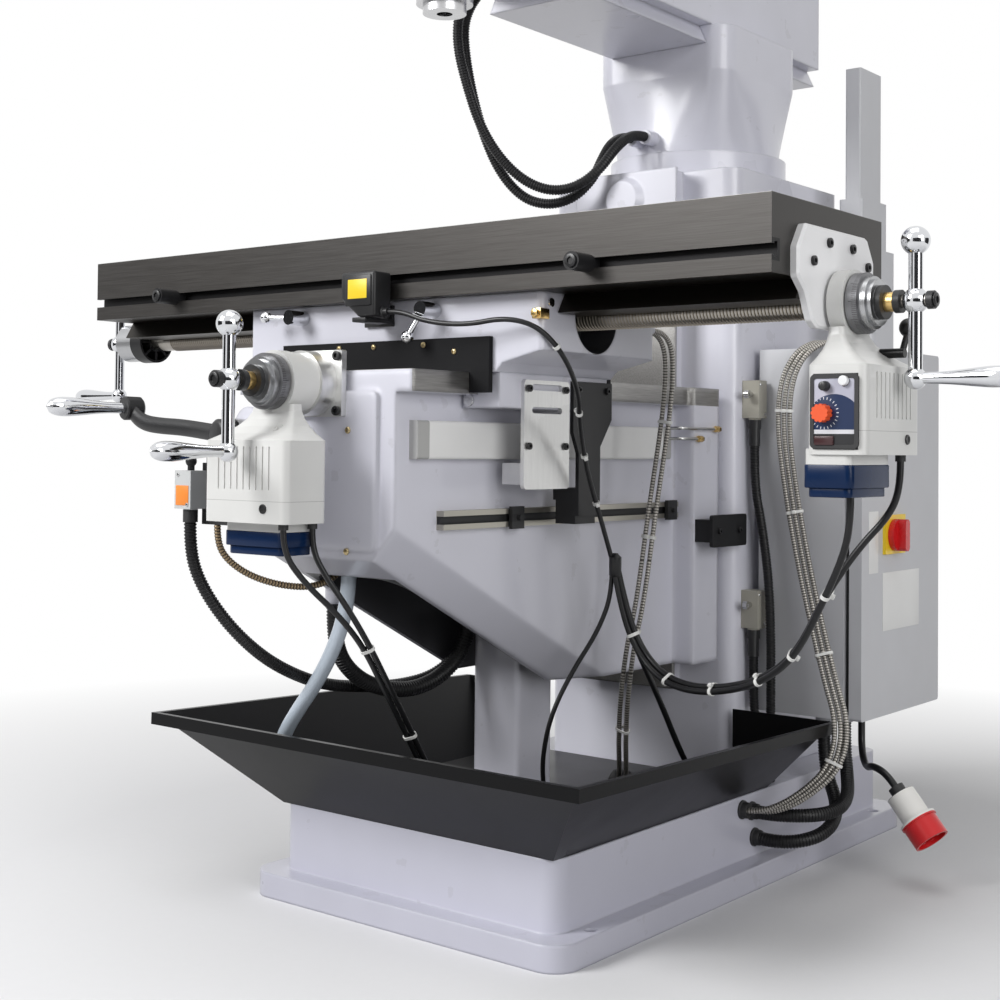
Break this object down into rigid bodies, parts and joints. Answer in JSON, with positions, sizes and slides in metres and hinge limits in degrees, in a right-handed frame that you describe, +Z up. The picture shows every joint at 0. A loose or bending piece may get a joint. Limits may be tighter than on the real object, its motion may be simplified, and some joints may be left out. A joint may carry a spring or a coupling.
{
  "type": "milling drilling machine",
  "caption": "Knee-type turret mill with a power-fed table and cross slide, ball cranks, knee crank, chip tray, electrical cabinet, swivelling ram, tilting head and quill.",
  "frame": {"origin": "the floor point straight below the spindle axis, on the base's centre rib, with the table at mid travel", "axes": "+X along the table to its power feed, +Y from the operator to the column, +Z up"},
  "size_m": [1.765, 1.552, 2.09],
  "materials": {
    "casting_paint": "pale lilac-grey gloss enamel over a machine casting",
    "base_paint": "lilac gloss enamel over a machine casting",
    "tray_paint": "black gloss enamel on folded sheet",
    "ground_steel": "ground grey iron with fine parallel marks",
    "screw_steel": "turned bright steel",
    "chrome": "polished chrome plate",
    "black_metal": "satin black oxide and paint",
    "bracket_aluminium": "machined aluminium",
    "bracket_white": "white enamel",
    "feed_white": "white moulded housing",
    "feed_blue": "navy moulded cap",
    "speed_orange": "orange-red moulded knob",
    "button_white": "pale moulded button",
    "black_plastic": "black moulded plastic",
    "wiper_rubber": "black rubber",
    "switch_grey": "grey cast switch body",
    "nut_bronze": "machined bronze",
    "switch_black": "black enamelled switch body and bracket",
    "scale_white": "white painted extrusion",
    "cabinet_grey": "light grey textured enamel on sheet",
    "switch_red": "red moulded switch knob",
    "cable_black": "black cable jacket and corrugated hose",
    "cable_armour": "bright spiral armour over cable",
    "plug_white": "white moulded plug with a red collar"
  },
  "bodies": {
    "machine_frame": {"base": "base_paint", "column": "casting_paint", "chip_tray": "tray_paint", "elevating_pedestal": "casting_paint", "electrical_cabinet": "cabinet_grey", "z_limit_switches": "switch_grey", "readout_post": "cabinet_grey", "readout_cables": "cable_armour", "cabinet_hoses": "cable_black", "mains_plug": "plug_white"},
    "cabinet_door": {"cabinet_door": "cabinet_grey"},
    "main_switch": {"main_switch_knob": "switch_red"},
    "turret": {"turret": "casting_paint"},
    "ram": {"ram": "casting_paint", "head_hoses": "cable_black"},
    "head": {"head_casting": "casting_paint", "head_motor": "casting_paint"},
    "quill": {"quill": "screw_steel"},
    "spindle": {"spindle": "screw_steel"},
    "quill_lever": {"quill_lever": "chrome"},
    "knee": {"knee": "casting_paint", "y_scale": "scale_white", "y_stop_rail": "bracket_aluminium", "z_trip_dog": "black_metal", "y_feed_bracket": "bracket_aluminium", "y_feed_housing": "feed_white", "y_feed_motor_cap": "feed_blue", "crank_switch": "switch_grey", "knee_conduits": "cable_black", "tray_cables": "cable_black"},
    "crank_plunger": {"crank_switch_plunger": "black_plastic"},
    "elevating_screw": {"elevating_screw": "screw_steel"},
    "elevating_shaft": {"elevating_shaft": "screw_steel"},
    "knee_crank": {"knee_crank": "black_metal"},
    "knee_crank_handle": {"knee_crank_handle": "chrome"},
    "y_screw": {"y_lead_screw": "screw_steel"},
    "y_crank": {"y_ball_crank": "chrome"},
    "saddle": {"saddle": "casting_paint", "way_wipers": "wiper_rubber", "keeper_strips": "casting_paint", "table_limit_switch": "switch_black", "scale_reader_bracket": "bracket_aluminium", "y_limit_switch": "switch_black", "lead_screw_nuts": "nut_bronze", "saddle_cables": "cable_black"},
    "lock_left": {"table_lock_left": "chrome"},
    "lock_right": {"table_lock_right": "chrome"},
    "table": {"table": "ground_steel", "table_stops": "black_metal", "x_left_bracket": "black_metal", "x_feed_bracket": "bracket_white", "x_feed_housing": "feed_white", "x_feed_motor_cap": "feed_blue", "x_feed_cables": "cable_black"},
    "x_screw": {"x_lead_screw": "screw_steel"},
    "x_crank": {"x_ball_crank": "chrome"},
    "left_crank": {"x_left_crank": "chrome"},
    "speed_knob": {"x_speed_knob": "speed_orange"},
    "rapid_button": {"x_rapid_button": "button_white"},
    "direction_lever": {"x_direction_lever": "black_plastic"}
  },
  "joints": [
    {"name": "knee_lift", "type": "slide", "parent": "machine_frame", "child": "knee", "axis": [0, 0, 1], "range_m": [-0.09, 0.18], "deforming": ["tray_cables", "knee_conduits"]},
    {"name": "elevating_screw_turn", "type": "hinge", "parent": "knee", "child": "elevating_screw", "pos_m": [0, 0.183, 0.5], "axis": [0, 0, 1], "range_deg": [-6485, 12965]},
    {"name": "elevating_shaft_turn", "type": "hinge", "parent": "knee", "child": "elevating_shaft", "pos_m": [0, 0.183, 0.713], "axis": [-0.1959, -0.9806, 0], "range_deg": [-14144, 28282]},
    {"name": "knee_crank_swing", "type": "hinge", "parent": "knee", "child": "knee_crank", "pos_m": [-0.10072, -0.32104, 0.713], "axis": [-0.1959, -0.9806, 0], "range_deg": [-80, 15]},
    {"name": "knee_crank_handle_turn", "type": "hinge", "parent": "knee_crank", "child": "knee_crank_handle", "pos_m": [-0.32742, -0.33284, 0.75], "axis": [-0.1959, -0.9806, 0], "continuous": true},
    {"name": "crank_plunger_press", "type": "slide", "parent": "knee", "child": "crank_plunger", "axis": [0, 0, -1], "range_m": [0, 0.004], "stiffness_N_per_m": 600, "springref_m": -0.002},
    {"name": "cross_slide", "type": "slide", "parent": "knee", "child": "saddle", "axis": [0, 1, 0], "range_m": [-0.1, 0.25], "deforming": ["saddle_cables"]},
    {"name": "y_screw_turn", "type": "hinge", "parent": "knee", "child": "y_screw", "pos_m": [0, -0.313, 0.782], "axis": [0, -1, 0], "range_deg": [-7206, 18005]},
    {"name": "y_crank_turn", "type": "hinge", "parent": "knee", "child": "y_crank", "pos_m": [0, -0.417, 0.782], "axis": [0, -1, 0], "continuous": true},
    {"name": "table_feed", "type": "slide", "parent": "saddle", "child": "table", "axis": [1, 0, 0], "range_m": [-0.31, 0.34], "deforming": ["x_feed_cables"]},
    {"name": "x_screw_turn", "type": "hinge", "parent": "table", "child": "x_screw", "pos_m": [0, 0, 0.878], "axis": [1, 0, 0], "range_deg": [-22326, 24485]},
    {"name": "x_crank_turn", "type": "hinge", "parent": "table", "child": "x_crank", "pos_m": [0.747, 0, 0.878], "axis": [1, 0, 0], "continuous": true},
    {"name": "left_crank_turn", "type": "hinge", "parent": "table", "child": "left_crank", "pos_m": [-0.768, 0, 0.878], "axis": [-1, 0, 0], "continuous": true},
    {"name": "speed_knob_turn", "type": "hinge", "parent": "table", "child": "speed_knob", "pos_m": [0.668, -0.0785, 0.742], "axis": [0, -1, 0], "range_deg": [-135, 135]},
    {"name": "rapid_button_press", "type": "slide", "parent": "table", "child": "rapid_button", "axis": [0, 1, 0], "range_m": [0, 0.003], "stiffness_N_per_m": 400, "springref_m": -0.002},
    {"name": "direction_lever_swing", "type": "hinge", "parent": "table", "child": "direction_lever", "pos_m": [0.687, 0.034, 0.818], "axis": [1, 0, 0], "range_deg": [-20, 20]},
    {"name": "lock_left_turn", "type": "hinge", "parent": "saddle", "child": "lock_left", "pos_m": [-0.163, -0.125, 0.8879], "axis": [0, -1, 0], "range_deg": [0, 60]},
    {"name": "lock_right_turn", "type": "hinge", "parent": "saddle", "child": "lock_right", "pos_m": [0.097, -0.125, 0.8879], "axis": [0, -1, 0], "range_deg": [-15, 40]},
    {"name": "door_swing", "type": "hinge", "parent": "machine_frame", "child": "cabinet_door", "pos_m": [0.387, 0.924, 0.5], "axis": [0, 0, 1], "range_deg": [0, 110]},
    {"name": "main_switch_turn", "type": "hinge", "parent": "cabinet_door", "child": "main_switch", "pos_m": [0.4, 0.715, 0.556], "axis": [1, 0, 0], "range_deg": [0, 90]},
    {"name": "turret_swivel", "type": "hinge", "parent": "machine_frame", "child": "turret", "pos_m": [0, 0.735, 1.3], "axis": [0, 0, 1], "range_deg": [-45, 45]},
    {"name": "ram_slide", "type": "slide", "parent": "turret", "child": "ram", "axis": [0, 1, 0], "range_m": [-0.15, 0.25], "deforming": ["head_hoses"]},
    {"name": "head_tilt", "type": "hinge", "parent": "ram", "child": "head", "pos_m": [0, 0.09, 1.5401], "axis": [0, 1, 0], "range_deg": [-45, 45]},
    {"name": "quill_slide", "type": "slide", "parent": "head", "child": "quill", "axis": [0, 0, 1], "range_m": [-0.127, 0], "stiffness_N_per_m": 400, "springref_m": 0.5},
    {"name": "quill_lever_turn", "type": "hinge", "parent": "head", "child": "quill_lever", "pos_m": [0.12, -0.02, 1.505], "axis": [1, 0, 0], "range_deg": [-2, 293]},
    {"name": "spindle_turn", "type": "hinge", "parent": "quill", "child": "spindle", "pos_m": [0, 0, 1.4], "axis": [0, 0, 1], "continuous": true}
  ],
  "couplings": [
    {"joint": "elevating_screw_turn", "follows": "knee_lift", "rad_per_m": 1256.6},
    {"joint": "elevating_shaft_turn", "follows": "knee_lift", "rad_per_m": 2741.8},
    {"joint": "y_screw_turn", "follows": "cross_slide", "rad_per_m": 1256.6},
    {"joint": "x_screw_turn", "follows": "table_feed", "rad_per_m": 1256.6},
    {"joint": "quill_lever_turn", "follows": "quill_slide", "rad_per_m": -40}
  ]
}
